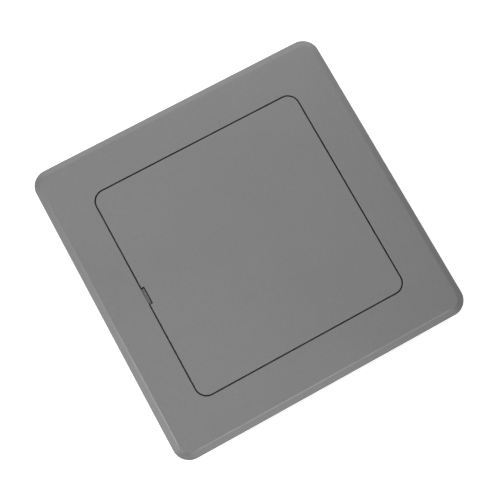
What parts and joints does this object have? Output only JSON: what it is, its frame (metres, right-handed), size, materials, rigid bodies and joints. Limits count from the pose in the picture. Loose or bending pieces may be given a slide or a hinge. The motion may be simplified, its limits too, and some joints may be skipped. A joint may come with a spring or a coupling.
{
  "type": "access hatch",
  "caption": "Square flush access hatch for a wall or ceiling: moulded frame with a hinged lid, pry notch, magnetic catches and swing-out wall clamps.",
  "frame": {"origin": "middle of the collar's rear rim, on the plane it stands on", "axes": "+Z out of the wall, through the lid's face; +Y towards the hinge side; +X to the right, seen from the front"},
  "size_m": [0.168, 0.168, 0.0262],
  "materials": {
    "abs_moulding": "fine moulded texture, matte mid-grey",
    "arm_moulding": "satin glass-filled nylon, dark grey",
    "catch_moulding": "satin off-white",
    "ferrite": "sintered, matt black",
    "zinc_steel": "bright zinc plate",
    "foam": "closed-cell foam, matt black"
  },
  "bodies": {
    "frame_body": {"frame": "abs_moulding", "lid_seal": "foam", "hinge_pin_left": "zinc_steel", "hinge_pin_right": "zinc_steel", "catch_housing_left": "catch_moulding", "catch_housing_right": "catch_moulding", "catch_magnet_left": "ferrite", "catch_magnet_right": "ferrite", "pole_plates_left": "zinc_steel", "pole_plates_right": "zinc_steel", "catch_screws": "zinc_steel"},
    "lid_body": {"lid": "abs_moulding", "hinge_arm_left": "arm_moulding", "hinge_arm_right": "arm_moulding", "hinge_arm_screws": "zinc_steel", "strike_plate_left": "zinc_steel", "strike_plate_right": "zinc_steel"},
    "screw_upper_right": {"clamp_screw_upper_right": "zinc_steel", "clamp_clip_upper_right": "zinc_steel"},
    "screw_lower_right": {"clamp_screw_lower_right": "zinc_steel", "clamp_clip_lower_right": "zinc_steel"},
    "screw_lower_left": {"clamp_screw_lower_left": "zinc_steel", "clamp_clip_lower_left": "zinc_steel"},
    "screw_upper_left": {"clamp_screw_upper_left": "zinc_steel", "clamp_clip_upper_left": "zinc_steel"},
    "claw_upper_right": {"clamp_claw_upper_right": "arm_moulding"},
    "claw_lower_right": {"clamp_claw_lower_right": "arm_moulding"},
    "claw_lower_left": {"clamp_claw_lower_left": "arm_moulding"},
    "claw_upper_left": {"clamp_claw_upper_left": "arm_moulding"}
  },
  "joints": [
    {"name": "lid_hinge", "type": "hinge", "parent": "frame_body", "child": "lid_body", "pos_m": [0, 0.06775, 0.0206], "axis": [-1, 0, 0], "range_deg": [0, 95]},
    {"name": "swing_upper_right", "type": "hinge", "parent": "frame_body", "child": "screw_upper_right", "pos_m": [0.0525, 0.034, 0.01], "axis": [0, 0, -1], "range_deg": [0, 90]},
    {"name": "swing_lower_right", "type": "hinge", "parent": "frame_body", "child": "screw_lower_right", "pos_m": [0.0525, -0.034, 0.01], "axis": [0, 0, -1], "range_deg": [0, 90]},
    {"name": "swing_lower_left", "type": "hinge", "parent": "frame_body", "child": "screw_lower_left", "pos_m": [-0.0525, -0.034, 0.01], "axis": [0, 0, -1], "range_deg": [0, 90]},
    {"name": "swing_upper_left", "type": "hinge", "parent": "frame_body", "child": "screw_upper_left", "pos_m": [-0.0525, 0.034, 0.01], "axis": [0, 0, -1], "range_deg": [0, 90]},
    {"name": "draw_upper_right", "type": "slide", "parent": "screw_upper_right", "child": "claw_upper_right", "axis": [0, 0, 1], "range_m": [0, 0.008]},
    {"name": "draw_lower_right", "type": "slide", "parent": "screw_lower_right", "child": "claw_lower_right", "axis": [0, 0, 1], "range_m": [0, 0.008]},
    {"name": "draw_lower_left", "type": "slide", "parent": "screw_lower_left", "child": "claw_lower_left", "axis": [0, 0, 1], "range_m": [0, 0.008]},
    {"name": "draw_upper_left", "type": "slide", "parent": "screw_upper_left", "child": "claw_upper_left", "axis": [0, 0, 1], "range_m": [0, 0.008]}
  ]
}
